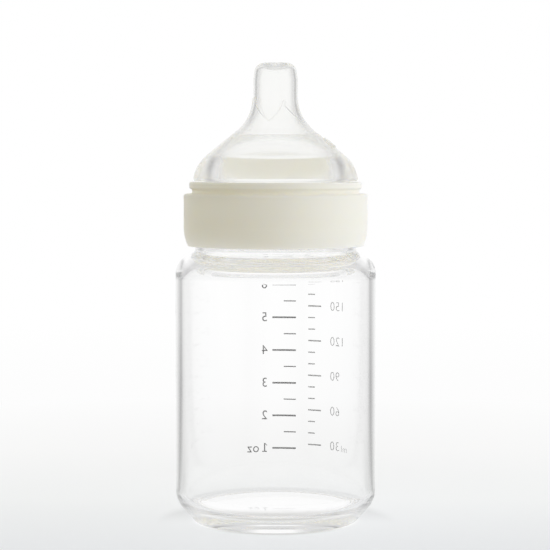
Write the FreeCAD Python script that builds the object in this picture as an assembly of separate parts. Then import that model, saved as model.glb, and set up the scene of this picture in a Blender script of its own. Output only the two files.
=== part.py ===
import FreeCAD, Part
import math
import os

# Baby feeding bottle: glass bottle, silicone teat and screw collar, standing upright on its foot ring.
# Millimetres, +Z up along the bottle's axis, origin under the middle of the foot ring.
# The bottle faces -Y, its volume scale is printed on the +Y side of the glass.

# Glass body
body_diameter = 62.0
body_wall = 2.0
foot_diameter = 50.8
foot_ring_width = 1.2
foot_hollow_depth = 0.3
heel_height = 6.4
heel_round = 7.0
foot_round = 1.2
floor_height = 5.0
floor_round = 4.4
shoulder_height = 81.0
shoulder_rise = 2.3
shoulder_round = 6.5
shoulder_wall = 2.1

# Glass neck and its screw thread
neck_diameter = 50.0
neck_wall = 3.0
neck_root_round = 1.2
neck_inner_round = 2.5
rim_round = 1.0
thread_pitch = 5.0
thread_turns = 1.5
thread_height = 1.1
thread_crest = 1.4
thread_flank_angle = 35.0
thread_start_gap = 3.3
thread_rim_gap = 1.7
thread_bite = 0.5
thread_clearance = 0.3

# Screw collar
collar_wall = 2.0
collar_lift = 1.8
collar_plate = 2.0
collar_top_round = 0.8
collar_taper_height = 3.0
collar_taper_inset = 1.3
collar_taper_round = 12.0
collar_edge_round = 0.6
collar_thread_gap = 0.4
collar_thread_runout = 8.0
collar_hole_inset = 1.6
snap_ring_wall = 2.35
snap_ring_height = 3.6
snap_bead_height = 1.9
snap_bead_reach = 0.9
snap_bead_slope = 0.5
snap_bead_round = 0.6

# Silicone teat
flange_thickness = 2.0
flange_reach = 0.8
flange_round = 0.5
groove_clearance = 0.3
groove_wall = 4.7
throat_inset = 1.0
throat_rise = 0.23
throat_round = 0.6
dome_overhang = 2.1
dome_rise = 5.2
dome_lean_angle = 8.0
dome_round = 12.5
dome_edge_round = 0.8
dome_wall = 1.6
thin_wall_radius = 11.9
thin_wall_round = 1.0
cone_angle = 51.0
flare_round = 13.0
stem_diameter = 13.7
stem_wall = 1.4
stem_length = 16.7
tip_taper_height = 5.2
tip_diameter = 12.5
tip_round = 3.0
tip_crown = 0.15
tip_wall = 2.35
tip_bulge = 1.1
tip_inner_round = 1.4
feed_hole_diameter = 0.4
petal_relief = 0.35
petal_left_offset = -6.4
petal_left_rise = 5.9
petal_valley_offset = -2.35
petal_valley_drop = 1.2
petal_right_offset = 2.45
petal_right_rise = 5.2
petal_bow = 0.9
petal_edge_angle = 48.0
vent_azimuth = 80.0
vent_radius = 16.8
vent_pad_diameter = 5.2
vent_pad_height = 0.5
vent_pad_round = 0.3
vent_hole_diameter = 0.7

# Printed volume scale, in millilitres and in imperial fluid ounces
ink_thickness = 0.08
print_gap = 0.5
ml_volume = 1000.0
ml_print_rise = 2.3
ml_first = 30
ml_step = 10
ml_long_every = 30
ml_stroke = 0.45
ml_start = 11.4
ml_short = 2.5
ml_long = 4.9
oz_volume = 28413.0
oz_print_rise = 1.4
oz_first = 1.0
oz_step = 0.5
oz_long_every = 1.0
oz_stroke = 0.55
oz_end = 7.0
oz_short = 4.2
oz_long = 8.1

# Radii and levels that follow from the sizes above
body_radius = body_diameter / 2
inner_radius = body_radius - body_wall
neck_radius = neck_diameter / 2
mouth_radius = neck_radius - neck_wall
thread_slope = math.tan(math.radians(thread_flank_angle))
thread_root = thread_crest + 2 * thread_height * thread_slope
neck_base = shoulder_height + shoulder_rise
shoulder_turn = math.atan2(body_radius - neck_radius, shoulder_rise)
wall_top = shoulder_height - shoulder_round * math.tan(shoulder_turn / 2)
thread_start = neck_base + thread_start_gap
rim_level = thread_start + thread_pitch * thread_turns + thread_root / 2 + thread_rim_gap
plate_under = rim_level + flange_thickness
plate_top = plate_under + collar_plate
collar_bottom = neck_base + collar_lift
collar_top = plate_top + snap_ring_height
skirt_radius = neck_radius + thread_height + thread_clearance
collar_radius = skirt_radius + collar_wall
hole_radius = neck_radius - collar_hole_inset
snap_groove_radius = hole_radius + snap_ring_wall
snap_bead_radius = snap_groove_radius + snap_bead_reach
flange_radius = neck_radius + flange_reach
groove_radius = hole_radius - groove_clearance
lip_level = collar_top + groove_clearance
dome_radius = hole_radius + dome_overhang
shoulder_level = lip_level + dome_rise
shoulder_radius = dome_radius - dome_rise * math.tan(math.radians(dome_lean_angle))
cone_run = math.tan(math.radians(cone_angle))
stem_radius = stem_diameter / 2
flare_level = shoulder_level + (shoulder_radius - stem_radius) / cone_run
tip_level = flare_level + stem_length
overshoot = 1.0  # how far a cutting shape reaches past what it cuts
up = FreeCAD.Vector(0, 0, 1)
origin = FreeCAD.Vector(0, 0, 0)


def turned(shape, azimuth):
    # Azimuth 0 faces -Y, and a positive one goes round towards +X.
    copy = shape.copy()
    copy.rotate(origin, up, azimuth)
    return copy


def rounded_wire(corners):
    # Joins (radius, level, rounding) corners in the XZ plane, with a tangent arc at each rounded one.
    # Roundings that don't fit on an edge together are made smaller until they do.
    points = [FreeCAD.Vector(radius, 0, level) for radius, level, rounding in corners]
    count = len(points)
    ways = [(points[(i + 1) % count] - points[i]).normalize() for i in range(count)]
    runs = [(points[(i + 1) % count] - points[i]).Length for i in range(count)]
    turns = [ways[i - 1].getAngle(ways[i]) for i in range(count)]
    cuts = [corners[i][2] * math.tan(turns[i] / 2) for i in range(count)]
    fits = [min(1.0, runs[i] / max(cuts[i] + cuts[(i + 1) % count], 1e-9)) for i in range(count)]
    cuts = [cuts[i] * min(fits[i - 1], fits[i]) for i in range(count)]
    starts = [points[i] - ways[i - 1] * cuts[i] for i in range(count)]
    ends = [points[i] + ways[i] * cuts[i] for i in range(count)]
    edges = []
    for i in range(count):
        if cuts[i] > 1e-6:
            inward = (ways[i] - ways[i - 1]).normalize()
            middle = points[i] + inward * cuts[i] * math.tan(turns[i] / 4)
            edges.append(Part.Arc(starts[i], middle, ends[i]).toShape())
        following = starts[(i + 1) % count]
        if (following - ends[i]).Length > 1e-6:
            edges.append(Part.LineSegment(ends[i], following).toShape())
    return Part.Wire(edges)


def revolved(corners):
    return Part.Face(rounded_wire(corners)).revolve(origin, up, 360)


def thread_ridge(root_radius, crest_radius, root_width, crest_width, bite, first_level, phase, turn_count):
    # One start, right hand, swept up a helix. The root is sunk by the bite, so that it fuses with its wall.
    outward = 1 if crest_radius > root_radius else -1
    slope = (root_width - crest_width) / 2 / abs(crest_radius - root_radius)
    foot_radius = root_radius - outward * bite
    foot_half = root_width / 2 + bite * slope
    section = Part.makePolygon([
        FreeCAD.Vector(foot_radius, 0, -foot_half),
        FreeCAD.Vector(crest_radius, 0, -crest_width / 2),
        FreeCAD.Vector(crest_radius, 0, crest_width / 2),
        FreeCAD.Vector(foot_radius, 0, foot_half),
        FreeCAD.Vector(foot_radius, 0, -foot_half),
    ])
    path = Part.Wire(Part.makeHelix(thread_pitch, thread_pitch * turn_count, root_radius).Edges)
    ridge = path.makePipeShell([section], True, True)
    ridge.translate(FreeCAD.Vector(0, 0, first_level))
    ridge.rotate(origin, up, phase)
    return ridge


def ridge_ends(first_level, phase, turn_count):
    last_level = first_level + thread_pitch * turn_count
    return [(phase, first_level), (phase + 360 * turn_count, last_level)]


def glass_thread():
    # Both ends run out along a flat that touches the neck and spans half a pitch above and below.
    ridge = thread_ridge(neck_radius, neck_radius + thread_height, thread_root, thread_crest, thread_bite,
                         thread_start, 0, thread_turns)
    for angle, level in ridge_ends(thread_start, 0, thread_turns):
        flat = Part.makeBox(thread_height + overshoot, neck_diameter, thread_pitch)
        flat.translate(FreeCAD.Vector(neck_radius, -neck_radius, level - thread_pitch / 2))
        flat.rotate(origin, up, angle)
        ridge = ridge.cut(flat)
    return ridge


def make_glass_bottle():
    foot_radius = foot_diameter / 2
    inner_corner = shoulder_height - shoulder_wall
    glass = revolved([
        (0, foot_hollow_depth, 0),
        (foot_radius - foot_ring_width - foot_hollow_depth, foot_hollow_depth, foot_hollow_depth),
        (foot_radius - foot_ring_width, 0, foot_hollow_depth),
        (foot_radius, 0, foot_round),
        (body_radius, heel_height, heel_round),
        (body_radius, shoulder_height, shoulder_round),
        (neck_radius, neck_base, neck_root_round),
        (neck_radius, rim_level, rim_round),
        (mouth_radius, rim_level, rim_round),
        (mouth_radius, neck_base - shoulder_wall, neck_inner_round),
        (inner_radius, inner_corner, shoulder_round - shoulder_wall / 2),
        (inner_radius, floor_height, floor_round),
        (0, floor_height, 0),
    ])
    return glass.fuse(glass_thread())


def collar_thread():
    # The ridge fills the space between the turns of the neck's thread, less the clearance, and its ends
    # run out along a round cut that touches the skirt.
    crest_radius = neck_radius + thread_clearance
    gap = thread_clearance / math.cos(math.radians(thread_flank_angle))
    crest_width = thread_pitch - thread_root - 2 * gap + 2 * thread_clearance * thread_slope
    root_width = crest_width + 2 * thread_height * thread_slope
    sunk_half = root_width / 2 + thread_bite * thread_slope
    first_level = collar_bottom + collar_thread_gap + sunk_half
    phase = 360 * (first_level - thread_start + thread_pitch / 2) / thread_pitch
    ridge = thread_ridge(skirt_radius, crest_radius, root_width, crest_width, thread_bite,
                         first_level, phase, thread_turns)
    for angle, level in ridge_ends(first_level, phase, thread_turns):
        cut = Part.makeCylinder(collar_thread_runout, thread_pitch)
        cut.translate(FreeCAD.Vector(skirt_radius - collar_thread_runout, 0, level - thread_pitch / 2))
        cut.rotate(origin, up, angle)
        ridge = ridge.cut(cut)
    return ridge


def make_screw_collar():
    bead_bottom = collar_top - snap_bead_height
    collar = revolved([
        (skirt_radius, collar_bottom, collar_edge_round),
        (collar_radius - collar_taper_inset, collar_bottom, collar_edge_round),
        (collar_radius, collar_bottom + collar_taper_height, collar_taper_round),
        (collar_radius, plate_top, collar_top_round),
        (snap_groove_radius, plate_top, collar_edge_round),
        (snap_groove_radius, bead_bottom - snap_bead_slope, collar_edge_round),
        (snap_bead_radius, bead_bottom, snap_bead_round),
        (snap_bead_radius, collar_top, snap_bead_round),
        (hole_radius, collar_top, collar_edge_round),
        (hole_radius, plate_under, 0),
        (skirt_radius, plate_under, 0),
    ])
    return collar.fuse(collar_thread())


def teat_outline(stem, tip):
    # The outside of the teat from its flange to its tip, closed down the axis.
    flare = shoulder_level + (shoulder_radius - stem) / cone_run
    return [
        (0, rim_level, 0),
        (flange_radius, rim_level, flange_round),
        (flange_radius, plate_under, flange_round),
        (groove_radius, plate_under, 0),
        (groove_radius, lip_level, 0),
        (dome_radius, lip_level, dome_edge_round),
        (shoulder_radius, shoulder_level, dome_round),
        (stem, flare, flare_round),
        (stem, tip - tip_taper_height, tip_round),
        (tip_diameter / 2 + stem - stem_radius, tip - tip_crown, tip_round),
        (0, tip, 0),
    ]


def inner_cone_level(radius):
    # The inside of the cone lies one wall under its outside, square to the surface.
    drop = dome_wall / math.sin(math.radians(cone_angle))
    return shoulder_level + (shoulder_radius - radius) / cone_run - drop


def teat_hollow():
    # Up through the flange and the thick foot of the dome, then on under the cone, where the wall is thin,
    # and up the stem to a tip that bulges down into the bore.
    mouth = groove_radius - groove_wall
    stem_inner = stem_radius - stem_wall
    tip_inner = tip_level - tip_wall
    return revolved([
        (0, rim_level - overshoot, 0),
        (mouth, rim_level - overshoot, 0),
        (mouth - throat_inset, shoulder_level + throat_rise, throat_round),
        (thin_wall_radius, inner_cone_level(thin_wall_radius), thin_wall_round),
        (stem_inner, inner_cone_level(stem_inner), flare_round),
        (stem_inner, tip_inner - tip_taper_height + tip_wall, tip_round),
        (tip_diameter / 2 - stem_wall, tip_inner + tip_bulge, tip_inner_round),
        (0, tip_inner, 0),
    ])


def bowed_down(start, end, bow):
    # An arc that hangs below the straight line from start to end.
    middle = (start + end) * 0.5
    across = FreeCAD.Vector(end.z - start.z, 0, start.x - end.x).normalize()
    return Part.Arc(start, middle - across * math.copysign(bow, across.z), end).toShape()


def petal_recess():
    # Everything that stands proud of the plain stem above the line of the petals: a left petal's tip, a
    # rounded valley, a right petal's tip and its straight edge. The line is drawn in the front view and goes
    # right through, so the petals of the back lie behind those of the front.
    valley = flare_level - petal_valley_drop
    left = flare_level + petal_left_rise
    right = flare_level + petal_right_rise
    reach = 2 * (stem_radius + petal_relief)
    edge_run = (right - valley) / math.tan(math.radians(petal_edge_angle))
    far = max(reach, petal_right_offset + edge_run + overshoot)
    top = max(left, right, tip_level) + reach
    line = [
        (-reach, left),
        (petal_left_offset, left),
        (petal_valley_offset, valley),
        (petal_right_offset, right),
        (petal_right_offset + edge_run, valley),
        (far, valley),
        (far, top),
        (-reach, top),
    ]
    corners = [FreeCAD.Vector(across, -reach, level) for across, level in line]
    edges = [Part.LineSegment(a, b).toShape() for a, b in zip(corners, corners[1:] + corners[:1])]
    edges[1] = bowed_down(corners[1], corners[2], petal_bow)
    edges[2] = bowed_down(corners[2], corners[3], petal_bow)
    notch = Part.Face(Part.Wire(edges)).extrude(FreeCAD.Vector(0, 2 * reach, 0))
    return notch.cut(revolved(teat_outline(stem_radius, tip_level)))


def on_cone(shape):
    # Stands a shape, made along +Z at the origin, square on the cone at the vent's place.
    level = shoulder_level + (shoulder_radius - vent_radius) / cone_run
    copy = shape.copy()
    copy.rotate(origin, FreeCAD.Vector(1, 0, 0), 90 - cone_angle)
    copy.translate(FreeCAD.Vector(0, -vent_radius, level))
    return turned(copy, vent_azimuth)


def vent_pad():
    sunk = dome_wall / 2
    pad = Part.makeCylinder(vent_pad_diameter / 2, sunk + vent_pad_height)
    pad.translate(FreeCAD.Vector(0, 0, -sunk))
    top_edge = max(pad.Edges, key=lambda edge: edge.CenterOfMass.z)
    return on_cone(pad.makeFillet(vent_pad_round, [top_edge]))


def vent_hole():
    # The wall under the pad is thinner than the foot, so a hole as deep as the foot goes right through.
    depth = groove_wall + overshoot
    hole = Part.makeCylinder(vent_hole_diameter / 2, depth + vent_pad_height + overshoot)
    hole.translate(FreeCAD.Vector(0, 0, -depth))
    return on_cone(hole)


def make_teat():
    teat = revolved(teat_outline(stem_radius + petal_relief, tip_level + petal_relief))
    teat = teat.cut(petal_recess()).cut(teat_hollow())
    feed_hole = Part.makeCylinder(feed_hole_diameter / 2, tip_wall + 2 * overshoot)
    feed_hole.translate(FreeCAD.Vector(0, 0, tip_level - tip_wall - overshoot))
    return teat.fuse(vent_pad()).cut(vent_hole()).cut(feed_hole)


def fill_level(volume):
    # The level that this many cubic millimetres reach in the straight part of the bottle.
    corner_area = floor_round ** 2 * (1 - math.pi / 4)
    corner_radius = inner_radius - floor_round * (10 - 3 * math.pi) / (12 - 3 * math.pi)
    corner_volume = 2 * math.pi * corner_radius * corner_area
    return floor_height + (volume + corner_volume) / (math.pi * inner_radius ** 2)


def marks_that_fit(first, step, unit_volume, print_rise, stroke):
    # Counts up from the first mark for as long as the next one still lies on the straight wall.
    highest = wall_top - print_gap - print_rise - stroke / 2
    marks = [first]
    while fill_level((marks[-1] + step) * unit_volume) <= highest:
        marks.append(marks[-1] + step)
    return marks


def tick(first, last, level, stroke):
    # A printed stroke on the +Y side, from one arc length off the middle to another.
    outer = body_radius + ink_thickness
    angles = [first / body_radius, (first + last) / 2 / body_radius, last / body_radius]
    inside = [FreeCAD.Vector(body_radius * math.sin(a), body_radius * math.cos(a), 0) for a in angles]
    outside = [FreeCAD.Vector(outer * math.sin(a), outer * math.cos(a), 0) for a in angles]
    edges = [
        Part.Arc(*inside).toShape(),
        Part.LineSegment(inside[2], outside[2]).toShape(),
        Part.Arc(*reversed(outside)).toShape(),
        Part.LineSegment(outside[0], inside[0]).toShape(),
    ]
    stroke_solid = Part.Face(Part.Wire(edges)).extrude(up * stroke)
    stroke_solid.translate(FreeCAD.Vector(0, 0, level - stroke / 2))
    return stroke_solid


def make_ml_scale_marks():
    ticks = []
    for mark in marks_that_fit(ml_first, ml_step, ml_volume, ml_print_rise, ml_stroke):
        length = ml_short if mark % ml_long_every else ml_long
        level = fill_level(mark * ml_volume) + ml_print_rise
        ticks.append(tick(ml_start, ml_start + length, level, ml_stroke))
    return Part.makeCompound(ticks)


def make_oz_scale_marks():
    ticks = []
    for mark in marks_that_fit(oz_first, oz_step, oz_volume, oz_print_rise, oz_stroke):
        length = oz_short if mark % oz_long_every else oz_long
        level = fill_level(mark * oz_volume) + oz_print_rise
        ticks.append(tick(oz_end - length, oz_end, level, oz_stroke))
    return Part.makeCompound(ticks)


makers = {
    "glass_bottle": make_glass_bottle,
    "screw_collar": make_screw_collar,
    "teat": make_teat,
    "ml_scale_marks": make_ml_scale_marks,
    "oz_scale_marks": make_oz_scale_marks,
}

os.makedirs("parts", exist_ok=True)
for node, make in makers.items():
    shape = make()
    shape.exportStep(f"parts/{node}.step")
    box = shape.optimalBoundingBox(False)
    print(node, "solids", len(shape.Solids), "valid", shape.isValid(), "volume", round(shape.Volume, 1),
          "levels", round(box.ZMin, 3), round(box.ZMax, 3), "reach", round(box.XMax, 3))
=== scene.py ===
import math
import bmesh
import bpy
import numpy as np
from mathutils import Matrix, Vector


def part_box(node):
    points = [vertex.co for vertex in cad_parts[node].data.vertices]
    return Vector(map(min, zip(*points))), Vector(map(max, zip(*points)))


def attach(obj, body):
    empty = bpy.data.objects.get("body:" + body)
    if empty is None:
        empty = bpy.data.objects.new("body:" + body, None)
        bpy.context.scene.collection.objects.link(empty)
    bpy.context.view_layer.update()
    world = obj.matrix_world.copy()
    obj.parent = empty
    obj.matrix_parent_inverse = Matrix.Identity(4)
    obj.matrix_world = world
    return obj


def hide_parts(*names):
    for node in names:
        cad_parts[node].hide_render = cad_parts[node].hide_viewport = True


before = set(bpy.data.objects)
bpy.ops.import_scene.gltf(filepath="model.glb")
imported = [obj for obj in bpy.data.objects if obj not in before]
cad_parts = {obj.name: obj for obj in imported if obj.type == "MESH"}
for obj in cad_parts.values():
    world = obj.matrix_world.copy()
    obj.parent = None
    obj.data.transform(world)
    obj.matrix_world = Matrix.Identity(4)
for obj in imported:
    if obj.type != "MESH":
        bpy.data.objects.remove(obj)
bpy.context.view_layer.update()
scene = bpy.context.scene
mm = 0.001  # sizes of the pieces are millimetres in their dictionaries, Blender works in metres
white = (1, 1, 1, 1)
print("frame loaded:", ", ".join(sorted(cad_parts)))


# Node helpers

def feed(tree, socket, value):
    if isinstance(value, bpy.types.NodeSocket):
        tree.links.new(value, socket)
    else:
        socket.default_value = value


def addNode(tree, kind, inputs=None, **settings):
    node = tree.nodes.new(kind)
    for name, value in settings.items():
        setattr(node, name, value)
    for name, value in (inputs or {}).items():
        feed(tree, node.inputs[name], value)
    return node


def calc(tree, operation, *values, clamp=False):
    node = addNode(tree, "ShaderNodeMath", operation=operation, use_clamp=clamp)
    for socket, value in zip(node.inputs, values):
        feed(tree, socket, value)
    return node.outputs[0]


def remap(tree, value, span=(0.0, 1.0), levels=(0.0, 1.0), kind="LINEAR"):
    # takes the span to the levels and holds the end levels beyond it
    inputs = {"Value": value, "From Min": span[0], "From Max": span[1],
              "To Min": levels[0], "To Max": levels[1]}
    return addNode(tree, "ShaderNodeMapRange", inputs, interpolation_type=kind).outputs[0]


def mixTone(tree, factor, first, second, way="MIX"):
    inputs = {"Factor": factor, 6: first, 7: second}
    return addNode(tree, "ShaderNodeMix", inputs, data_type="RGBA", blend_type=way).outputs[2]


def joinAxes(tree, **axes):
    return addNode(tree, "ShaderNodeCombineXYZ", axes).outputs[0]


def splitAxes(tree, vector):
    return addNode(tree, "ShaderNodeSeparateXYZ", {0: vector}).outputs


def sampleAt(tree, geometry, value, index, kind):
    inputs = {"Geometry": geometry, "Value": value, "Index": index}
    return addNode(tree, "GeometryNodeSampleIndex", inputs, data_type=kind).outputs[0]


def newTree(name, sizes):
    tree = bpy.data.node_groups.new(name, "GeometryNodeTree")
    tree.interface.new_socket("Geometry", in_out="INPUT", socket_type="NodeSocketGeometry")
    tree.interface.new_socket("Geometry", in_out="OUTPUT", socket_type="NodeSocketGeometry")
    for label, value in sizes.items():
        kind = "NodeSocketInt" if isinstance(value, int) else "NodeSocketFloat"
        tree.interface.new_socket(label, in_out="INPUT", socket_type=kind)
    return tree, tree.nodes.new("NodeGroupInput").outputs


def endTree(tree, geometry, material):
    realized = addNode(tree, "GeometryNodeRealizeInstances", {"Geometry": geometry})
    smooth = addNode(tree, "GeometryNodeSetShadeSmooth", {"Geometry": realized.outputs[0]})
    inputs = {"Geometry": smooth.outputs[0], "Material": material}
    painted = addNode(tree, "GeometryNodeSetMaterial", inputs)
    tree.links.new(painted.outputs[0], tree.nodes.new("NodeGroupOutput").inputs[0])


# Mesh helpers

weldRange = 1e-7
sliverRange = 1e-8
sharpAngle = math.radians(40.0)


def evaluatedMesh(maker):
    return bpy.data.meshes.new_from_object(maker.evaluated_get(bpy.context.evaluated_depsgraph_get()))


def runTree(name, mesh, tree, sizes):
    # a modifier's inputs are set by identifier, then its result is kept as a plain mesh
    maker = bpy.data.objects.new(name + "_maker", mesh)
    scene.collection.objects.link(maker)
    modifier = maker.modifiers.new("shape", "NODES")
    modifier.node_group = tree
    for item in tree.interface.items_tree:
        if item.in_out == "INPUT" and item.name in sizes:
            modifier[item.identifier] = sizes[item.name]
    maker.update_tag()
    made = evaluatedMesh(maker)
    maker.modifiers.remove(modifier)
    bpy.data.objects.remove(maker)
    bpy.data.meshes.remove(mesh)
    made.name = name
    return made


def closeMesh(mesh):
    # welds seams and poles, and turns every face of the closed shell outwards
    shell = bmesh.new()
    shell.from_mesh(mesh)
    bmesh.ops.remove_doubles(shell, verts=shell.verts, dist=weldRange)
    bmesh.ops.dissolve_degenerate(shell, edges=shell.edges, dist=sliverRange)
    bmesh.ops.recalc_face_normals(shell, faces=shell.faces)
    openEdges = sum(1 for edge in shell.edges if len(edge.link_faces) != 2)
    volume = round(shell.calc_volume(signed=True) / mm ** 3, 1)
    print("  ", mesh.name, "volume", volume, "mm3, open edges", openEdges)
    shell.to_mesh(mesh)
    shell.free()
    mesh.set_sharp_from_angle(angle=sharpAngle)


def addPiece(name, mesh, body, node):
    piece = bpy.data.objects.new(name, mesh)
    scene.collection.objects.link(piece)
    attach(piece, body)
    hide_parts(node)


# Outlines for turned pieces

holdingRun = 0.06  # a row this close to each end keeps a long run's shading straight
leastCut = 1e-6
leastGap = 1e-4
leastArcSteps = 4
wallMatch = 1e-3
mergeRange = 1e-6


def cornerArc(point, wayIn, wayOut, cut, turn, arcStep):
    radius = cut / math.tan(turn / 2)
    inward = (wayOut - wayIn) / np.hypot(*(wayOut - wayIn))
    centre = point + inward * math.hypot(cut, radius)
    first, last = point - wayIn * cut - centre, point + wayOut * cut - centre
    steps = max(leastArcSteps, math.ceil(math.degrees(turn) / arcStep))
    arc = []
    for share in (k / steps for k in range(steps + 1)):
        a, b = math.sin((1 - share) * turn), math.sin(share * turn)
        arc.append(centre + (first * a + last * b) / math.sin(turn))
    return arc


def pointsBetween(here, there, step):
    run = float(np.hypot(*(there - here)))
    pieces = max(1, math.ceil(run / step))
    places = [k / pieces for k in range(1, pieces)]
    if run > 4 * holdingRun:
        places = [holdingRun / run] + places + [1 - holdingRun / run]
    return [here + (there - here) * place for place in sorted(places)]


def roundedOutline(corners, arcStep):
    # corners are (radius, level, rounding, run): an arc at the corner, then points every run on the way on
    points = [np.array(corner[:2], float) for corner in corners]
    ways = [b - a for a, b in zip(points, points[1:])]
    runs = [float(np.hypot(*way)) for way in ways]
    ways = [way / run for way, run in zip(ways, runs)]
    turns = [0.0] + [math.acos(float(np.clip(a @ b, -1, 1))) for a, b in zip(ways, ways[1:])] + [0.0]
    cuts = [corner[2] * math.tan(turn / 2) for corner, turn in zip(corners, turns)]
    fits = [run / (a + b) if a + b > run else 1.0 for run, a, b in zip(runs, cuts, cuts[1:])]
    cuts = [cut * min(fits[max(i - 1, 0)], fits[min(i, len(fits) - 1)]) for i, cut in enumerate(cuts)]
    outline = []
    for i, point in enumerate(points):
        if cuts[i] > leastCut:
            outline += cornerArc(point, ways[i - 1], ways[i], cuts[i], turns[i], arcStep)
        else:
            outline.append(point)
        if i < len(ways):
            step = corners[i][3] if len(corners[i]) > 3 else math.inf
            outline += pointsBetween(outline[-1], points[i + 1] - ways[i] * cuts[i + 1], step)
    kept = [outline[0]]
    for point in outline[1:]:
        if np.hypot(*(point - kept[-1])) > leastGap:
            kept.append(point)
    return np.array(kept)


def outlineMesh(name, outline, threadRadius):
    # the outline as loose points, marked where the wall carries the screw thread
    mesh = bpy.data.meshes.new(name + "_outline")
    mesh.from_pydata([(r * mm, 0, z * mm) for r, z in outline], [], [])
    onWall = [1.0 if abs(r - threadRadius) < wallMatch else 0.0 for r, z in outline]
    mesh.attributes.new("threadWall", "FLOAT", "POINT").data.foreach_set("value", onWall)
    return mesh


def makeTurnedTree(material, sizes):
    # turns an outline round the axis, and raises a one-start helical ridge on its marked wall
    tree, given = newTree("turned_" + material.name, sizes)
    outline, pitch = given["Geometry"], given["Thread Pitch"]
    rootHalf, runOut = given["Root Half"], given["Run Out"]
    count = addNode(tree, "GeometryNodeAttributeDomainSize", {"Geometry": outline}).outputs["Point Count"]
    columns = calc(tree, "ADD", given["Segments"], 1.0)
    grid = addNode(tree, "GeometryNodeMeshGrid", {"Vertices X": count, "Vertices Y": columns})
    index = addNode(tree, "GeometryNodeInputIndex").outputs[0]
    row = calc(tree, "FLOOR", calc(tree, "DIVIDE", calc(tree, "ADD", index, 0.5), columns))
    column = calc(tree, "SUBTRACT", index, calc(tree, "MULTIPLY", row, columns))
    place = addNode(tree, "GeometryNodeInputPosition").outputs[0]
    onWall = addNode(tree, "GeometryNodeInputNamedAttribute", {"Name": "threadWall"}, data_type="FLOAT")
    point = splitAxes(tree, sampleAt(tree, outline, place, row, "FLOAT_VECTOR"))
    wall = sampleAt(tree, outline, onWall.outputs[0], row, "FLOAT")
    share = calc(tree, "DIVIDE", column, given["Segments"])
    angle = calc(tree, "MULTIPLY", share, 2 * math.pi)
    # how far along and beside the helix this point lies, in turns
    fromStart = calc(tree, "SUBTRACT", share, given["Start Turn"])
    climbed = calc(tree, "DIVIDE", calc(tree, "SUBTRACT", point["Z"], given["Start Level"]), pitch)
    behind = calc(tree, "SUBTRACT", climbed, fromStart)
    whole = calc(tree, "ROUND", behind)
    travel = calc(tree, "ADD", whole, fromStart)
    aside = calc(tree, "ABSOLUTE", calc(tree, "SUBTRACT", behind, whole))
    beside = calc(tree, "MULTIPLY", aside, pitch)
    flankWidth = calc(tree, "SUBTRACT", rootHalf, given["Crest Half"])
    flank = calc(tree, "DIVIDE", calc(tree, "SUBTRACT", rootHalf, beside), flankWidth, clamp=True)
    rounded = remap(tree, flank, kind="SMOOTHSTEP")
    comesIn = calc(tree, "DIVIDE", travel, runOut, clamp=True)
    remaining = calc(tree, "SUBTRACT", given["Thread Turns"], travel)
    goesOut = calc(tree, "DIVIDE", remaining, runOut, clamp=True)
    ends = calc(tree, "MULTIPLY", comesIn, goesOut)
    height = calc(tree, "MULTIPLY", calc(tree, "MULTIPLY", rounded, ends), given["Thread Height"])
    radius = calc(tree, "ADD", point["X"], calc(tree, "MULTIPLY", height, wall))
    across = calc(tree, "MULTIPLY", radius, calc(tree, "SINE", angle))
    deep = calc(tree, "MULTIPLY", radius, calc(tree, "COSINE", angle))
    spot = joinAxes(tree, X=across, Y=calc(tree, "MULTIPLY", deep, -1.0), Z=point["Z"])
    moved = addNode(tree, "GeometryNodeSetPosition", {"Geometry": grid.outputs[0], "Position": spot})
    inputs = {"Geometry": moved.outputs[0], "Distance": mergeRange}
    welded = addNode(tree, "GeometryNodeMergeByDistance", inputs)
    endTree(tree, welded.outputs[0], material)
    return tree


def turnedMesh(name, outline, threadRadius, material, sizes):
    profile = outlineMesh(name, outline, threadRadius)
    mesh = runTree(name, profile, makeTurnedTree(material, sizes), sizes)
    closeMesh(mesh)
    return mesh


# Finishes

def newFinish(name, sockets):
    material = bpy.data.materials.new(name)
    material.use_nodes = True
    tree = material.node_tree
    shader = tree.nodes["Principled BSDF"]
    for socket, value in sockets.items():
        shader.inputs[socket].default_value = value
    return material, tree, shader


def noiseOn(tree, scale, detail):
    where = addNode(tree, "ShaderNodeTexCoord").outputs["Object"]
    inputs = {"Vector": where, "Scale": scale, "Detail": detail}
    return addNode(tree, "ShaderNodeTexNoise", inputs).outputs[0]


def addBump(tree, shader, look):
    height = noiseOn(tree, look["bumpScale"], look["bumpDetail"])
    inputs = {"Height": height, "Strength": 1.0, "Distance": look["bumpDepth"]}
    feed(tree, shader.inputs["Normal"], addNode(tree, "ShaderNodeBump", inputs).outputs[0])


glassLook = {
    "sockets": {"Base Color": white, "Roughness": 0.0, "IOR": 1.48, "Transmission Weight": 1.0},
    "bumpScale": 55.0, "bumpDetail": 2.0, "bumpDepth": 0.00002,
}
siliconeLook = {
    "sockets": {"Base Color": (0.978, 0.979, 0.971, 1), "Roughness": 0.16, "IOR": 1.41,
                "Transmission Weight": 1.0},
    "bumpScale": 900.0, "bumpDetail": 2.0, "bumpDepth": 0.000004,
}


def makeClear(name, look):
    # a clear wall that is slightly uneven
    material, tree, shader = newFinish(name, look["sockets"])
    addBump(tree, shader, look)
    return material


plasticLook = {
    "sockets": {"IOR": 1.49, "Subsurface Weight": 0.7, "Subsurface Radius": (1.0, 0.9, 0.7),
                "Subsurface Scale": 0.004},
    "light": (0.88, 0.863, 0.81, 1), "shade": (0.855, 0.836, 0.775, 1),
    "cloudScale": 70.0, "cloudDetail": 4.0,
    "roughness": (0.3, 0.42), "dullScale": 280.0, "dullDetail": 5.0,
    "bumpScale": 2600.0, "bumpDetail": 3.0, "bumpDepth": 0.000012,
}


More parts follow.
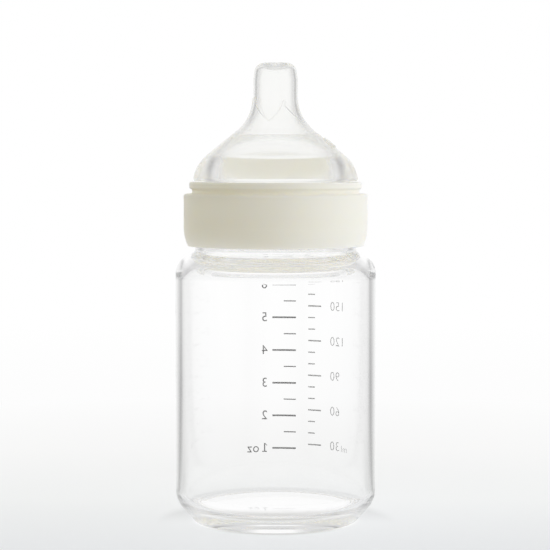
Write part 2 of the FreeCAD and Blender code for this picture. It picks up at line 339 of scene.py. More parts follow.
def makeCreamPlastic():
    look = plasticLook
    material, tree, shader = newFinish("creamPlastic", look["sockets"])
    cloud = noiseOn(tree, look["cloudScale"], look["cloudDetail"])
    feed(tree, shader.inputs["Base Color"], mixTone(tree, cloud, look["light"], look["shade"]))
    dull = noiseOn(tree, look["dullScale"], look["dullDetail"])
    feed(tree, shader.inputs["Roughness"], remap(tree, dull, levels=look["roughness"]))
    addBump(tree, shader, look)
    return material


inkLook = {"sockets": {"Roughness": 0.6}, "patchScale": 1500.0, "patchDetail": 3.0, "blueShare": 0.98}


def makeInk(name, dark, pale):
    # fired print: a matt grey that is thinner in small patches
    material, tree, shader = newFinish(name, inkLook["sockets"])
    patch = noiseOn(tree, inkLook["patchScale"], inkLook["patchDetail"])
    tone = mixTone(tree, patch, (dark, dark, dark, 1), (pale, pale, pale * inkLook["blueShare"], 1))
    feed(tree, shader.inputs["Base Color"], tone)
    return material


clearGlass = makeClear("clearGlass", glassLook)
clearSilicone = makeClear("clearSilicone", siliconeLook)
creamPlastic = makeCreamPlastic()
mlInk = makeInk("mlInk", dark=0.2, pale=0.36)
ozInk = makeInk("ozInk", dark=0.07, pale=0.16)
print("finishes made")


# Glass bottle

glass = {
    "bodyRadius": 31.0, "innerRadius": 29.0, "footRadius": 25.4, "footRingWidth": 1.2, "footHollow": 0.3,
    "heelHeight": 6.4, "heelRound": 7.0, "footRound": 1.2, "floorHeight": 5.0, "floorRound": 4.4,
    "shoulderHeight": 81.0, "shoulderRise": 2.3, "shoulderRound": 6.5, "shoulderWall": 2.1,
    "neckRadius": 25.0, "mouthRadius": 22.0, "neckRootRound": 1.2, "neckInnerRound": 2.5, "rimRound": 1.0,
    "wallRun": 6.0, "arcStep": 5.0, "segments": 288,
}
thread = {
    "pitch": 5.0, "turns": 1.5, "height": 1.1, "crest": 1.4, "root": 2.94, "clearance": 0.3,
    "neckStartGap": 3.3, "startTurn": 0.25, "runOut": 16.7 / 360, "step": 0.22,
}
neckBase = glass["shoulderHeight"] + glass["shoulderRise"]
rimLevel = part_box("glass_bottle")[1].z / mm
threadStart = neckBase + thread["neckStartGap"]


def threadSizes(segments, height, startLevel, startTurn, root, crest, runOut):
    return {"Segments": segments, "Thread Height": height * mm, "Thread Pitch": thread["pitch"] * mm,
            "Thread Turns": thread["turns"], "Start Level": startLevel * mm, "Start Turn": startTurn,
            "Root Half": root / 2 * mm, "Crest Half": crest / 2 * mm, "Run Out": runOut}


def makeGlassBottle():
    g = glass
    ringInner = g["footRadius"] - g["footRingWidth"]
    innerShoulder = g["shoulderHeight"] - g["shoulderWall"]
    innerShoulderRound = g["shoulderRound"] - g["shoulderWall"] / 2
    outline = roundedOutline([
        (0, g["footHollow"], 0),
        (ringInner - g["footHollow"], g["footHollow"], g["footHollow"]),
        (ringInner, 0, g["footHollow"]),
        (g["footRadius"], 0, g["footRound"]),
        (g["bodyRadius"], g["heelHeight"], g["heelRound"], g["wallRun"]),
        (g["bodyRadius"], g["shoulderHeight"], g["shoulderRound"]),
        (g["neckRadius"], neckBase, g["neckRootRound"], thread["step"]),
        (g["neckRadius"], rimLevel, g["rimRound"]),
        (g["mouthRadius"], rimLevel, g["rimRound"]),
        (g["mouthRadius"], neckBase - g["shoulderWall"], g["neckInnerRound"]),
        (g["innerRadius"], innerShoulder, innerShoulderRound, g["wallRun"]),
        (g["innerRadius"], g["floorHeight"], g["floorRound"]),
        (0, g["floorHeight"], 0),
    ], g["arcStep"])
    sizes = threadSizes(g["segments"], thread["height"], threadStart, thread["startTurn"], thread["root"],
                        thread["crest"], thread["runOut"])
    mesh = turnedMesh("glass_bottle_dressed", outline, g["neckRadius"], clearGlass, sizes)
    addPiece("glass_bottle_dressed", mesh, "bottle", "glass_bottle")


makeGlassBottle()
print("glass bottle made")


# Screw collar

collar = {
    "wall": 2.0, "plate": 2.0, "topRound": 0.8, "edgeRound": 0.6, "holeInset": 1.6, "flange": 2.0,
    "taperHeight": 3.0, "taperInset": 1.3, "taperRound": 12.0, "taperRun": 2.0,
    "ringWall": 2.35, "beadHeight": 1.9, "beadReach": 0.9, "beadSlope": 0.5, "beadRound": 0.6,
    "threadGap": 0.4, "sunk": 0.5, "runOut": 0.05, "arcStep": 8.0, "segments": 288,
}
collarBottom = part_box("screw_collar")[0].z / mm
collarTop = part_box("screw_collar")[1].z / mm
skirtRadius = glass["neckRadius"] + thread["height"] + thread["clearance"]
holeRadius = glass["neckRadius"] - collar["holeInset"]
plateUnder = rimLevel + collar["flange"]


def collarThread():
    # a ridge that fills the gap between two turns of the neck's thread, less the clearance on every side
    c = collar
    slope = (thread["root"] - thread["crest"]) / 2 / thread["height"]
    flankGap = thread["clearance"] * math.hypot(1, slope)
    crest = thread["pitch"] - thread["root"] - 2 * flankGap + 2 * thread["clearance"] * slope
    root = crest + 2 * thread["height"] * slope
    firstLevel = collarBottom + c["threadGap"] + root / 2 + c["sunk"] * slope
    firstTurn = (firstLevel - threadStart + thread["pitch"] / 2) / thread["pitch"] + thread["startTurn"]
    return threadSizes(c["segments"], -thread["height"], firstLevel, firstTurn, root, crest, c["runOut"])


def makeScrewCollar():
    c = collar
    outer = skirtRadius + c["wall"]
    plateTop = plateUnder + c["plate"]
    snapRadius = holeRadius + c["ringWall"]
    beadRadius = snapRadius + c["beadReach"]
    beadBottom = collarTop - c["beadHeight"]
    middle = (collarBottom + plateUnder) / 2
    outline = roundedOutline([
        (skirtRadius, middle, 0, thread["step"]),
        (skirtRadius, collarBottom, c["edgeRound"]),
        (outer - c["taperInset"], collarBottom, c["edgeRound"]),
        (outer, collarBottom + c["taperHeight"], c["taperRound"], c["taperRun"]),
        (outer, plateTop, c["topRound"]),
        (snapRadius, plateTop, c["edgeRound"]),
        (snapRadius, beadBottom - c["beadSlope"], c["edgeRound"]),
        (beadRadius, beadBottom, c["beadRound"]),
        (beadRadius, collarTop, c["beadRound"]),
        (holeRadius, collarTop, c["edgeRound"]),
        (holeRadius, plateUnder, 0),
        (skirtRadius, plateUnder, 0, thread["step"]),
        (skirtRadius, middle, 0),
    ], c["arcStep"])
    mesh = turnedMesh("screw_collar_dressed", outline, skirtRadius, creamPlastic, collarThread())
    addPiece("screw_collar_dressed", mesh, "collar", "screw_collar")


makeScrewCollar()
print("screw collar made")


# Silicone teat

teat = {
    "flangeReach": 0.8, "flangeRound": 0.5, "flangeRoom": 0.03, "grooveClearance": 0.3, "grooveWall": 4.7,
    "domeOverhang": 2.1, "domeRise": 5.2, "domeLean": 8.0, "domeRound": 12.5, "domeEdgeRound": 0.8,
    "throatInset": 1.0, "throatRise": 0.23, "throatRound": 0.6, "thinWallRadius": 11.9,
    "thinWallRound": 1.0, "domeWall": 1.6, "coneAngle": 51.0, "flareRound": 13.0, "stemRadius": 6.85,
    "stemWall": 1.4, "tipTaper": 5.2, "tipRadius": 6.25, "tipRound": 3.0, "tipCrown": 0.15, "tipWall": 2.35,
    "tipBulge": 1.1, "tipInnerRound": 1.4, "holeRadius": 0.2,
    "outerRun": 0.3, "innerRun": 0.5, "throatRun": 1.0, "arcStep": 4.0, "columns": 220,
    "petals": {
        "relief": 0.35, "leftOffset": -6.4, "leftRise": 5.9, "valleyOffset": -2.35, "valleyDrop": 1.2,
        "rightOffset": 2.45, "rightRise": 5.2, "bow": 0.9, "bowSteps": 24, "rightAngle": 48.0,
        "edge": 0.15, "edgeShares": (0.15, 0.5, 0.85), "bandDrop": 1.5, "bandEdge": 0.3,
        "bandHeight": 0.2, "bandFade": 0.5, "bandRows": 8, "above": 1.0, "below": 3.0, "rows": 26,
        "rowGap": 0.05, "followSteps": 60, "underShoulder": 2.0, "underTip": 1.0,
    },
    "vent": {
        "azimuth": math.radians(80.0), "radius": 16.8, "padRadius": 2.6, "padHeight": 0.5, "padEdge": 0.5,
        "holeRadius": 0.35, "drillLength": 14.0, "drillFacets": 24, "columns": 48, "fineReach": 1.35,
    },
}
petals, vent = teat["petals"], teat["vent"]
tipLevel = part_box("teat")[1].z / mm
grooveRadius = holeRadius - teat["grooveClearance"]
mouthRadius = grooveRadius - teat["grooveWall"]
flangeFoot = rimLevel + teat["flangeRoom"]
lipLevel = collarTop + teat["grooveClearance"]
domeRadius = holeRadius + teat["domeOverhang"]
domeShoulder = lipLevel + teat["domeRise"]
shoulderRadius = domeRadius - teat["domeRise"] * math.tan(math.radians(teat["domeLean"]))
coneLean = math.radians(teat["coneAngle"])


def coneLevel(radius):
    return domeShoulder + (shoulderRadius - radius) / math.tan(coneLean)


def innerConeLevel(radius):
    return coneLevel(radius) - teat["domeWall"] / math.sin(coneLean)


flareLevel = coneLevel(teat["stemRadius"])
ventLevel = coneLevel(vent["radius"])


def outerOutline(relief):
    # from the flange's foot up to the rim of the feeding hole, with a stem that is thicker by the relief
    t = teat
    stem = t["stemRadius"] + relief
    tip = tipLevel + relief
    flangeRadius = glass["neckRadius"] + t["flangeReach"]
    return roundedOutline([
        (mouthRadius, flangeFoot, 0),
        (flangeRadius, flangeFoot, t["flangeRound"]),
        (flangeRadius, plateUnder - t["flangeRoom"], t["flangeRound"]),
        (grooveRadius, plateUnder - t["flangeRoom"], 0),
        (grooveRadius, lipLevel, 0),
        (domeRadius, lipLevel, t["domeEdgeRound"]),
        (shoulderRadius, domeShoulder, t["domeRound"], t["outerRun"]),
        (stem, coneLevel(stem), t["flareRound"], t["outerRun"]),
        (stem, tip - t["tipTaper"], t["tipRound"]),
        (t["tipRadius"] + relief, tip - t["tipCrown"], t["tipRound"]),
        (t["holeRadius"], tip, 0),
    ], t["arcStep"])


def innerOutline():
    # from the feeding hole down the stem's bore and the thin cone, then inside the thick foot to the flange
    t = teat
    stemInner = t["stemRadius"] - t["stemWall"]
    tipInner = tipLevel - t["tipWall"]
    thinEnd = t["thinWallRadius"]
    return roundedOutline([
        (t["holeRadius"], tipInner, 0),
        (t["tipRadius"] - t["stemWall"], tipInner + t["tipBulge"], t["tipInnerRound"]),
        (stemInner, tipInner - t["tipTaper"] + t["tipWall"], t["tipRound"]),
        (stemInner, innerConeLevel(stemInner), t["flareRound"], t["innerRun"]),
        (thinEnd, innerConeLevel(thinEnd), t["thinWallRound"], t["innerRun"]),
        (mouthRadius - t["throatInset"], domeShoulder + t["throatRise"], t["throatRound"], t["throatRun"]),
        (mouthRadius, flangeFoot, 0),
    ], t["arcStep"])


def levelToRadius(outline):
    # radius by level along the stem and cone, where the outline only climbs
    lowest, highest = domeShoulder - petals["underShoulder"], tipLevel - petals["underTip"]
    climbing = outline[(outline[:, 1] > lowest) & (outline[:, 1] < highest)]
    order = np.argsort(climbing[:, 1])
    return lambda levels: np.interp(levels, climbing[order, 1], climbing[order, 0])


def smoothStep(share):
    return share * share * (3 - 2 * share)


def bowedLine(start, end):
    # points that hang below the straight line from start to end, without the end itself
    way = end - start
    down = np.array([way[1], -way[0]]) / np.hypot(*way)
    down = -down if down[1] > 0 else down
    shares = np.arange(petals["bowSteps"]) / petals["bowSteps"]
    return [start + way * share + down * 4 * petals["bow"] * share * (1 - share) for share in shares]


def petalEdge(azimuths, radiusAt):
    # the line where the petals end, drawn in the front view and followed round as a level for each azimuth
    p = petals
    left = np.array([p["leftOffset"], flareLevel + p["leftRise"]])
    valley = np.array([p["valleyOffset"], flareLevel - p["valleyDrop"]])
    right = np.array([p["rightOffset"], flareLevel + p["rightRise"]])
    edgeRun = (right[1] - valley[1]) / math.tan(math.radians(p["rightAngle"]))
    line = bowedLine(left, valley) + bowedLine(valley, right) + [right]
    line.append(np.array([right[0] + edgeRun, valley[1]]))
    acrossLine, levels = np.array(line).T
    edge = np.full(azimuths.shape, valley[1])
    for k in range(p["followSteps"]):
        edge = np.interp(radiusAt(edge) * np.sin(azimuths), acrossLine, levels)
    return edge


def teatAzimuths():
    # columns stand closer at the vent
    reach = vent["fineReach"] * vent["padRadius"] / vent["radius"]
    first, last = vent["azimuth"] - reach, vent["azimuth"] + reach
    fine = np.linspace(first, last, vent["columns"], endpoint=False)
    coarse = np.linspace(last, first + 2 * math.pi, teat["columns"], endpoint=False)
    return np.concatenate([fine, coarse])


def roundRows(outline, azimuths):
    return [(np.full(azimuths.shape, r), np.full(azimuths.shape, z)) for r, z in outline]


def teatRows(azimuths):
    # rows of radius and level, from the feeding hole down the outside and then up inside
    p = petals
    plain, thick = outerOutline(0.0), outerOutline(p["relief"])
    plainRadius, thickRadius = levelToRadius(plain), levelToRadius(thick)
    edge = petalEdge(azimuths, thickRadius)
    top, bottom = edge.max() + p["above"], edge.min() - p["below"]
    rows = roundRows([(r, z) for r, z in plain[::-1] if z > top], azimuths)
    for k in range(p["rows"] + 1):
        level = top + (edge - top) * k / p["rows"]
        rows.append((plainRadius(level), level))
    for share in p["edgeShares"]:
        level = edge - p["edge"] * share
        raised = smoothStep(share)
        rows.append((plainRadius(level) * (1 - raised) + thickRadius(level) * raised, level))
    # along the right petal's straight edge the front has a narrow raised band
    across = thickRadius(edge) * np.sin(azimuths)
    onEdge = np.clip((across - p["rightOffset"]) / p["bandFade"], 0, 1) * (np.cos(azimuths) > 0)
    bandRise = p["bandHeight"] * onEdge * np.clip((edge - edge.min()) / p["bandFade"], 0, 1)
    bandEnd = p["edge"] + p["bandDrop"]
    for drop in np.linspace(p["edge"], bandEnd, p["bandRows"]):
        level = edge - drop
        rows.append((thickRadius(level) + bandRise, level))
    start = edge - bandEnd - p["bandEdge"]
    for k in range(p["rows"] + 1):
        level = start + (bottom - start) * k / p["rows"]
        rows.append((thickRadius(level), level))
    below = [(r, z) for r, z in thick[::-1] if z < bottom - p["rowGap"]]
    rows += roundRows(below + list(innerOutline()[::-1]), azimuths)
    return [np.array(part) for part in zip(*rows)]


def raiseVentPad(radius, level, azimuths):
    # the round vent pad stands square on the cone
    outward, upward = math.cos(coneLean), math.sin(coneLean)
    out, up = radius - vent["radius"], level - ventLevel
    around, along = radius * (azimuths - vent["azimuth"]), out * upward - up * outward
    near = np.clip((vent["padRadius"] - np.hypot(around, along)) / vent["padEdge"], 0, 1)
    onOutside = out * outward + up * upward > -teat["domeWall"] / 2
    rise = vent["padHeight"] * smoothStep(near) * onOutside
    return radius + rise * outward, level + rise * upward


def drillVent(mesh):
    # the vent hole runs square through the pad and the thick wall below it
    azimuth, radius, hole = vent["azimuth"], vent["radius"], vent["holeRadius"] * mm
    drill = bmesh.new()
    bmesh.ops.create_cone(drill, cap_ends=True, segments=vent["drillFacets"], radius1=hole, radius2=hole,
                          depth=vent["drillLength"] * mm)
    turn = Matrix.Rotation(azimuth - math.pi / 2, 4, "Z") @ Matrix.Rotation(math.pi / 2 - coneLean, 4, "Y")
    spot = Vector((math.sin(azimuth) * radius, -math.cos(azimuth) * radius, ventLevel)) * mm
    bmesh.ops.transform(drill, matrix=Matrix.Translation(spot) @ turn, verts=drill.verts)
    drillMesh = bpy.data.meshes.new("vent_drill")
    drill.to_mesh(drillMesh)
    drill.free()
    tool = bpy.data.objects.new("vent_drill", drillMesh)
    blank = bpy.data.objects.new("teat_blank", mesh)
    for part in (tool, blank):
        scene.collection.objects.link(part)
    cut = blank.modifiers.new("vent", "BOOLEAN")
    cut.operation = "DIFFERENCE"
    cut.solver = "EXACT"
    cut.object = tool
    drilled = evaluatedMesh(blank)
    for part in (tool, blank):
        bpy.data.objects.remove(part)
    for leftover in (drillMesh, mesh):
        bpy.data.meshes.remove(leftover)
    drilled.name = "teat_dressed"
    return drilled


def makeTeat():
    azimuths = teatAzimuths()
    radius, level = raiseVentPad(*teatRows(azimuths), azimuths)
    points = np.stack([radius * np.sin(azimuths), -radius * np.cos(azimuths), level], axis=-1) * mm
    here = np.arange(radius.size).reshape(radius.shape)
    beside = np.roll(here, -1, axis=1)
    faces = np.stack([here, beside, np.roll(beside, -1, axis=0), np.roll(here, -1, axis=0)], axis=-1)
    blank = bpy.data.meshes.new("teat_blank")
    blank.from_pydata(points.reshape(-1, 3), [], faces.reshape(-1, 4).tolist())
    blank.materials.append(clearSilicone)
    closeMesh(blank)
    mesh = drillVent(blank)
    closeMesh(mesh)
    mesh.polygons.foreach_set("use_smooth", [True] * len(mesh.polygons))
    addPiece("teat_dressed", mesh, "teat", "teat")


makeTeat()
print("teat made")


# Printed volume scale

scaleInk = {
    "lift": 0.02, "thickness": 0.06, "strokeColumns": 12, "digitHeight": 3.0, "digitShare": 0.7,
    "spacing": 1.08, "curveSteps": 4, "serifReach": 0.62, "serifBar": 0.34,
}
mlScale = {
    "node": "ml_scale_marks", "stroke": 0.45, "shortStroke": 0.38, "short": 2.5, "long": 4.9,
    "anchor": 11.4, "side": 1.0, "longEvery": 3, "labels": ["30", "60", "90", "120", "150", "180"],
    "labelAnchor": 19.9, "labelAlign": "RIGHT", "labelWeight": -0.07,
    "unit": "ml", "unitAnchor": 24.9, "unitDrop": 0.5, "unitSize": 0.75,
}
ozScale = {
    "node": "oz_scale_marks", "stroke": 0.55, "shortStroke": 0.36, "short": 4.2, "long": 8.1,
    "anchor": 7.0, "side": -1.0, "longEvery": 2, "labels": ["1", "2", "3", "4", "5", "6"],
    "labelAnchor": -2.7, "labelAlign": "LEFT", "labelWeight": 0.0,
    "unit": "oz", "unitAnchor": -5.6, "unitDrop": 0.0, "unitSize": 1.0,
}
printRadius = (glass["bodyRadius"] + scaleInk["lift"] + scaleInk["thickness"] / 2) * mm


def makeTicksTree(ink, sizes):
    # strokes on a line of points, long ones at each labelled mark, wrapped round the back of the glass
    tree, given = newTree("ticks_" + ink.name, sizes)
    line = {"Count": given["Count"], "Start Location": joinAxes(tree, Z=given["First Level"]),
            "Offset": joinAxes(tree, Z=given["Level Step"])}
    marks = addNode(tree, "GeometryNodeMeshLine", line)
    index = addNode(tree, "GeometryNodeInputIndex").outputs[0]
    isLong = calc(tree, "LESS_THAN", calc(tree, "MODULO", index, given["Long Every"]), 0.5)
    extra = calc(tree, "MULTIPLY", isLong, calc(tree, "SUBTRACT", given["Long"], given["Short"]))
    length = calc(tree, "ADD", given["Short"], extra)
    heavier = calc(tree, "MULTIPLY", isLong, calc(tree, "SUBTRACT", given["Stroke"], given["Short Stroke"]))
    weight = calc(tree, "ADD", given["Short Stroke"], heavier)
    half = calc(tree, "MULTIPLY", calc(tree, "MULTIPLY", length, given["Side"]), 0.5)
    shift = joinAxes(tree, X=calc(tree, "ADD", given["Anchor"], half))
    placed = addNode(tree, "GeometryNodeSetPosition", {"Geometry": marks.outputs[0], "Offset": shift})
    box = {"Size": (1, 1, 1), "Vertices X": scaleInk["strokeColumns"]}
    stroke = addNode(tree, "GeometryNodeMeshCube", box)
    scale = joinAxes(tree, X=length, Y=given["Thickness"], Z=weight)
    strokes = addNode(tree, "GeometryNodeInstanceOnPoints", {
        "Points": placed.outputs[0], "Instance": stroke.outputs[0], "Scale": scale})
    flat = addNode(tree, "GeometryNodeRealizeInstances", {"Geometry": strokes.outputs[0]})
    here = splitAxes(tree, addNode(tree, "GeometryNodeInputPosition").outputs[0])
    angle = calc(tree, "DIVIDE", here["X"], given["Radius"])
    radius = calc(tree, "ADD", given["Radius"], here["Y"])
    across = calc(tree, "MULTIPLY", radius, calc(tree, "SINE", angle))
    deep = calc(tree, "MULTIPLY", radius, calc(tree, "COSINE", angle))
    bent = joinAxes(tree, X=across, Y=deep, Z=here["Z"])
    wrapped = addNode(tree, "GeometryNodeSetPosition", {"Geometry": flat.outputs[0], "Position": bent})
    endTree(tree, wrapped.outputs[0], ink)
    return tree


def addSerifs(mesh):
    # the numeral 1 stands on a short foot and has a slanted flag at its top
    numeral = bmesh.new()
    numeral.from_mesh(mesh)
    across, up, out = zip(*(vertex.co for vertex in numeral.verts))
    left, right, foot, head, half = min(across), max(across), min(up), max(up), max(out)
    reach, bar = scaleInk["serifReach"] * mm, scaleInk["serifBar"] * mm
    start, end = left - reach, right + reach
    shapes = [[(start, foot), (left, foot), (left, foot + bar), (start, foot + bar)],
              [(right, foot), (end, foot), (end, foot + bar), (right, foot + bar)],
              [(start, head - reach - bar), (left, head - bar), (left, head), (start, head - reach)]]
    for corners in shapes:
        low = [numeral.verts.new((x, y, -half)) for x, y in corners]
        high = [numeral.verts.new((x, y, half)) for x, y in corners]
        numeral.faces.new(low[::-1])
        numeral.faces.new(high)
        for i in range(len(corners)):
            numeral.faces.new((low[i - 1], low[i], high[i], high[i - 1]))
    numeral.to_mesh(mesh)
    numeral.free()


def labelMesh(text, scale, share):
    curve = bpy.data.curves.new("label", "FONT")
    curve.body = text
    curve.align_x = scale["labelAlign"]
    curve.align_y = "CENTER"
    curve.size = scaleInk["digitHeight"] / scaleInk["digitShare"] * share * mm
    curve.extrude = scaleInk["thickness"] / 2 * mm
    curve.offset = scale["labelWeight"] * mm
    curve.space_character = scaleInk["spacing"]
    curve.resolution_u = scaleInk["curveSteps"]
    writer = bpy.data.objects.new("label", curve)
    scene.collection.objects.link(writer)
    mesh = evaluatedMesh(writer)
    bpy.data.objects.remove(writer)
    bpy.data.curves.remove(curve)
    if text == "1":
        addSerifs(mesh)
    return mesh


def addLabels(mesh, scale, firstLevel, levelStep):
    # the labels bend round the glass and read from outside, at the back
    joined = bmesh.new()
    joined.from_mesh(mesh)
    words = [(text, scale["labelAnchor"], firstLevel + i * scale["longEvery"] * levelStep, 1.0)
             for i, text in enumerate(scale["labels"])]
    unitLevel = firstLevel - scale["unitDrop"] * mm
    words.append((scale["unit"], scale["unitAnchor"], unitLevel, scale["unitSize"]))
    for text, anchor, level, share in words:
        label = labelMesh(text, scale, share)
        for vertex in label.vertices:
            across, up, out = vertex.co
            angle, radius = (anchor * mm - across) / printRadius, printRadius + out
            vertex.co = (radius * math.sin(angle), radius * math.cos(angle), level + up)
        joined.from_mesh(label)
        bpy.data.meshes.remove(label)
    bmesh.ops.remove_doubles(joined, verts=joined.verts, dist=weldRange)
    bmesh.ops.recalc_face_normals(joined, faces=joined.faces)  # a thinned letter can fold over at a corner
    joined.to_mesh(mesh)
    joined.free()


def makeScale(name, scale, ink):
    low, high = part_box(scale["node"])
    stroke = scale["stroke"] * mm
    count = (len(scale["labels"]) - 1) * scale["longEvery"] + 1
    firstLevel, lastLevel = low.z + stroke / 2, high.z - stroke / 2
    levelStep = (lastLevel - firstLevel) / (count - 1)
    sizes = {"Count": count, "First Level": firstLevel, "Level Step": levelStep, "Stroke": stroke,
             "Short Stroke": scale["shortStroke"] * mm, "Short": scale["short"] * mm,
             "Long": scale["long"] * mm, "Anchor": scale["anchor"] * mm, "Side": scale["side"],
             "Long Every": scale["longEvery"], "Radius": printRadius, "Thickness": scaleInk["thickness"] * mm}
    mesh = runTree(name, bpy.data.meshes.new(name), makeTicksTree(ink, sizes), sizes)
    addLabels(mesh, scale, firstLevel, levelStep)
    mesh.materials.clear()
    mesh.materials.append(ink)
    for attribute, value in (("use_smooth", False), ("material_index", 0)):
        mesh.polygons.foreach_set(attribute, [value] * len(mesh.polygons))
    addPiece(name, mesh, "bottle", scale["node"])


makeScale("ml_scale_print", mlScale, mlInk)
makeScale("oz_scale_print", ozScale, ozInk)
print("volume scale printed")


# Studio, in metres: world, floor, key lamp and camera. Flags are (degrees from straight ahead, brightness)

flags = {
    "through": [(0, 1.0), (6, 1.0), (12, 0.97), (18, 0.9), (25, 0.74), (33, 0.66), (40, 0.72), (48, 0.78),
                (63, 0.78), (70, 0.86), (78, 0.95), (84, 0.99), (90, 1.0)],
    "mirrored": [(13, 0.72), (19, 0.59), (23.6, 0.5), (27.7, 0.42), (31.4, 0.31), (34.5, 0.29),
                 (39, 0.52), (45, 0.72), (51, 0.78), (57, 0.76), (63, 0.78), (67, 0.85), (72, 0.92),
                 (78, 0.96), (84, 0.99), (90, 1.0)],
    "frontShare": 0.35, "turnSpan": (-0.05, 0.05),
}


def grayRamp(tree, value, span, levels):
    # a ramp of (place, level) stops over the span
    first, last = span
    ramp = addNode(tree, "ShaderNodeValToRGB", {0: remap(tree, value, span)})
    stops = ramp.color_ramp.elements
    while len(stops) > 1:
        stops.remove(stops[-1])
    for i, (at, level) in enumerate(levels):
        stop = stops[0] if i == 0 else stops.new((at - first) / (last - first))
        stop.position = (at - first) / (last - first)
        stop.color = (*level, 1) if isinstance(level, tuple) else (level, level, level, 1)
    return ramp.outputs[0]


def softWall(tree, x, y, depth, levels):
    # brightness of the studio round the bottle: soft grey flags at the diagonals, weaker towards the camera
    azimuth = calc(tree, "ABSOLUTE", calc(tree, "ARCTAN2", x, y))
    folded = calc(tree, "PINGPONG", azimuth, math.pi / 2)
    tone = grayRamp(tree, calc(tree, "MULTIPLY", folded, 180 / math.pi), (0, 90), levels)
    share = remap(tree, depth, flags["turnSpan"], (flags["frontShare"], 1.0))
    return mixTone(tree, share, white, tone)


def lookRay(tree):
    path = addNode(tree, "ShaderNodeLightPath").outputs
    seen = calc(tree, "MAXIMUM", path["Is Camera Ray"], path["Is Glossy Ray"])
    return calc(tree, "MAXIMUM", seen, path["Is Transmission Ray"])


def plainView(tree, flagged, inWall, plain):
    # the picture, the light and reflections are plain, what is seen through clear walls shows the flags
    # beside it, and paths that were mirrored inside a wall have a tone of their own
    path = addNode(tree, "ShaderNodeLightPath").outputs
    isLight = calc(tree, "GREATER_THAN", path["Diffuse Depth"], 0.5)
    bounced = calc(tree, "MAXIMUM", isLight, path["Is Reflection Ray"])
    direct = calc(tree, "MAXIMUM", path["Is Camera Ray"], bounced)
    mirrored = calc(tree, "GREATER_THAN", path["Glossy Depth"], 0.5)
    return mixTone(tree, direct, mixTone(tree, mirrored, flagged, inWall), plain)


worldLook = {
    "ahead": [(0, 1.0), (7, 1.0)], "upSpan": (0.15, 0.55), "wallMirror": 0.1,
    "card": [(0.33, 1.0), (0.42, 0.7)],
    "fill": 0.57, "leftTint": (1.0, 0.945, 0.72, 1), "leftSpan": (0.2, -0.6),
}


def makeWorld():
    look = worldLook
    world = bpy.data.worlds.new("studio")
    scene.world = world
    world.use_nodes = True
    tree = world.node_tree
    tree.nodes.clear()
    way = splitAxes(tree, addNode(tree, "ShaderNodeTexCoord").outputs["Generated"])
    upward = remap(tree, way["Z"], look["upSpan"], kind="SMOOTHSTEP")
    flagged = mixTone(tree, upward, softWall(tree, way["X"], way["Y"], way["Y"], flags["through"]), white)
    inWall = softWall(tree, way["X"], way["Y"], way["Y"], look["ahead"] + flags["mirrored"])
    inWall = mixTone(tree, calc(tree, "MAXIMUM", upward, look["wallMirror"]), inWall, white)
    inWall = mixTone(tree, 1.0, inWall, grayRamp(tree, way["Z"], (0, 1), look["card"]), "MULTIPLY")
    tone = plainView(tree, flagged, inWall, white)
    seen = addNode(tree, "ShaderNodeBackground", {"Color": tone, "Strength": 1.0})
    fromLeft = remap(tree, way["X"], look["leftSpan"], kind="SMOOTHSTEP")
    fillTint = mixTone(tree, fromLeft, white, look["leftTint"])
    fill = addNode(tree, "ShaderNodeBackground", {"Color": fillTint, "Strength": look["fill"]})
    both = addNode(tree, "ShaderNodeMixShader", {0: lookRay(tree), 1: fill.outputs[0], 2: seen.outputs[0]})
    tree.links.new(both.outputs[0], addNode(tree, "ShaderNodeOutputWorld").inputs[0])


floorLook = {
    "sockets": {"Base Color": (0.82, 0.83, 0.84, 1), "Roughness": 0.9, "Specular IOR Level": 0.0},
    "radius": 30.0, "facets": 96, "drop": 0.0002,
    "levelSpan": (-0.2, 0.8),
    "levels": [(-0.2, 1.0), (-0.1, 0.9), (-0.044, (0.83, 0.845, 0.86)), (0.034, (0.94, 0.952, 0.952)),
               (0.139, 0.98), (0.29, 0.98), (0.52, 0.992), (0.7, 1.0)],
    "reachSpan": (0, 1.2),
    "reach": [(0.035, 0.0), (0.07, 1.0), (0.35, 1.0), (0.7, 0.84), (1.2, 0.8)],
    "ahead": [(0, 0.85), (6, 0.8)], "clearStrip": {"X": 0.031, "Y": 0.015},
    # painted contact shadow: the floor is darkened to this level in a ring close round the back of the foot
    "paintedContactShade": 0.82, "besideSpan": (0.029, 0.038), "behindSpan": (0.02, -0.01),
    # painted pool under the foot: painted light under most of it, painted shade along its front
    "paintedPoolReach": (0.0243, 0.0265), "paintedPoolSpan": (-0.03, 0.0),
    "paintedPoolTones": [(-0.021, (0.64, 0.64, 0.62)), (-0.012, 1.0)],
    "shadow": 0.15, "shadowSpan": (0.1, 0.3),
}


def floorTone(tree, where, away, paintedPoolShare):
    # the floor's brightness by depth, with the flags round the bottle, a painted contact shadow in a ring
    # close round the back of the foot and a painted pool below it: painted light under most of the foot that
    # turns to painted shade along its front
    look = floorLook
    near = grayRamp(tree, where["Y"], look["levelSpan"], look["levels"])
    fade = grayRamp(tree, away, look["reachSpan"], look["reach"])
    sides = [calc(tree, "MAXIMUM", calc(tree, "SUBTRACT", calc(tree, "ABSOLUTE", where[axis]), strip), 0.0)
             for axis, strip in look["clearStrip"].items()]
    flagged, inWall = (mixTone(tree, fade, near, softWall(tree, *sides, where["Y"], levels), "MULTIPLY")
                       for levels in (flags["through"], look["ahead"] + flags["mirrored"]))
    tone = plainView(tree, flagged, inWall, near)
    # painted contact shadow in a ring close round the back of the foot
    beside = remap(tree, away, look["besideSpan"], kind="SMOOTHSTEP")
    ahead = remap(tree, where["Y"], look["behindSpan"], kind="SMOOTHSTEP")
    paintedContactShade = remap(tree, calc(tree, "MAXIMUM", beside, ahead), levels=(look["paintedContactShade"], 1.0))
    withPaintedContactShade = mixTone(tree, 1.0, tone, paintedContactShade, "MULTIPLY")
    # the painted pool of light and shade takes the floor's place under the foot
    return mixTone(tree, paintedPoolShare, withPaintedContactShade, grayRamp(tree, where["Y"], look["paintedPoolSpan"], look["paintedPoolTones"]))


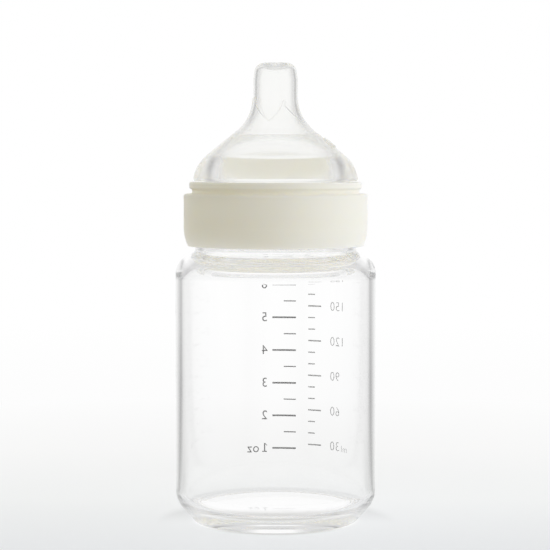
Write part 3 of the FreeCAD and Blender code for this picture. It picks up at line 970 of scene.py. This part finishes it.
def makeFloor():
    look = floorLook
    disc = bmesh.new()
    bmesh.ops.create_circle(disc, cap_ends=True, segments=look["facets"], radius=look["radius"])
    mesh = bpy.data.meshes.new("studio_floor")
    disc.to_mesh(mesh)
    disc.free()
    material, tree, shader = newFinish("paleFloor", look["sockets"])
    where = splitAxes(tree, addNode(tree, "ShaderNodeTexCoord").outputs["Object"])
    squares = [calc(tree, "MULTIPLY", where[axis], where[axis]) for axis in ("X", "Y")]
    away = calc(tree, "SQRT", calc(tree, "ADD", *squares))
    # where the painted pool of light and shade lies: the whole foot, fading out just beyond it
    paintedPoolShare = remap(tree, away, look["paintedPoolReach"], (1.0, 0.0))
    tone = floorTone(tree, where, away, paintedPoolShare)
    glow = addNode(tree, "ShaderNodeEmission", {"Color": tone, "Strength": 1.0})
    shadow = remap(tree, away, look["shadowSpan"], (look["shadow"], 0.0))
    # the lit floor shader keeps a share near the bottle, except under the painted pool
    shade = calc(tree, "MULTIPLY", shadow, calc(tree, "SUBTRACT", 1.0, paintedPoolShare))
    seen = addNode(tree, "ShaderNodeMixShader", {0: shade, 1: glow.outputs[0], 2: shader.outputs[0]})
    both = addNode(tree, "ShaderNodeMixShader", {0: lookRay(tree), 1: shader.outputs[0], 2: seen.outputs[0]})
    tree.links.new(both.outputs[0], tree.nodes["Material Output"].inputs["Surface"])
    mesh.materials.append(material)
    floor = bpy.data.objects.new("studio_floor", mesh)
    floor.location.z = -look["drop"]
    scene.collection.objects.link(floor)


keyLamp = {
    "power": 3.05, "size": 0.6, "tint": (0.94, 0.97, 1.0),
    "place": (0.76, -0.22, 0.27), "target": (0, 0, 0.09),
}


def makeKeyLamp():
    lamp = bpy.data.lights.new("key", "AREA")
    lamp.energy = keyLamp["power"]
    lamp.color = keyLamp["tint"]
    lamp.size = keyLamp["size"]
    holder = bpy.data.objects.new("key", lamp)
    holder.location = keyLamp["place"]
    toward = np.array(keyLamp["target"]) - np.array(keyLamp["place"])
    holder.rotation_euler = (math.acos(-toward[2] / np.linalg.norm(toward)), 0,
                             math.atan2(toward[1], toward[0]) - math.pi / 2)
    holder.visible_glossy = False  # soft light without spots in the glass
    holder.visible_transmission = False
    scene.collection.objects.link(holder)


view = {"place": (-0.00019, -0.566, 0.1101), "pitch": 3.442, "lens": 119.7, "sensor": 36.0, "nearest": 0.01}


def makeCamera():
    lens = bpy.data.cameras.new("photo_view")
    lens.lens = view["lens"]
    lens.sensor_width = view["sensor"]
    lens.clip_start = view["nearest"]
    holder = bpy.data.objects.new("photo_view", lens)
    holder.location = view["place"]
    holder.rotation_euler = (math.radians(90 - view["pitch"]), 0, 0)
    scene.collection.objects.link(holder)
    scene.camera = holder


clearBounces = 96  # long paths inside clear walls
scene.cycles.max_bounces = clearBounces
scene.cycles.glossy_bounces = clearBounces
scene.cycles.transmission_bounces = clearBounces
scene.cycles.diffuse_bounces = 12
scene.cycles.blur_glossy = 0.0
makeWorld()
makeFloor()
makeKeyLamp()
makeCamera()
scene.view_settings.view_transform = "Standard"
print("studio set up")
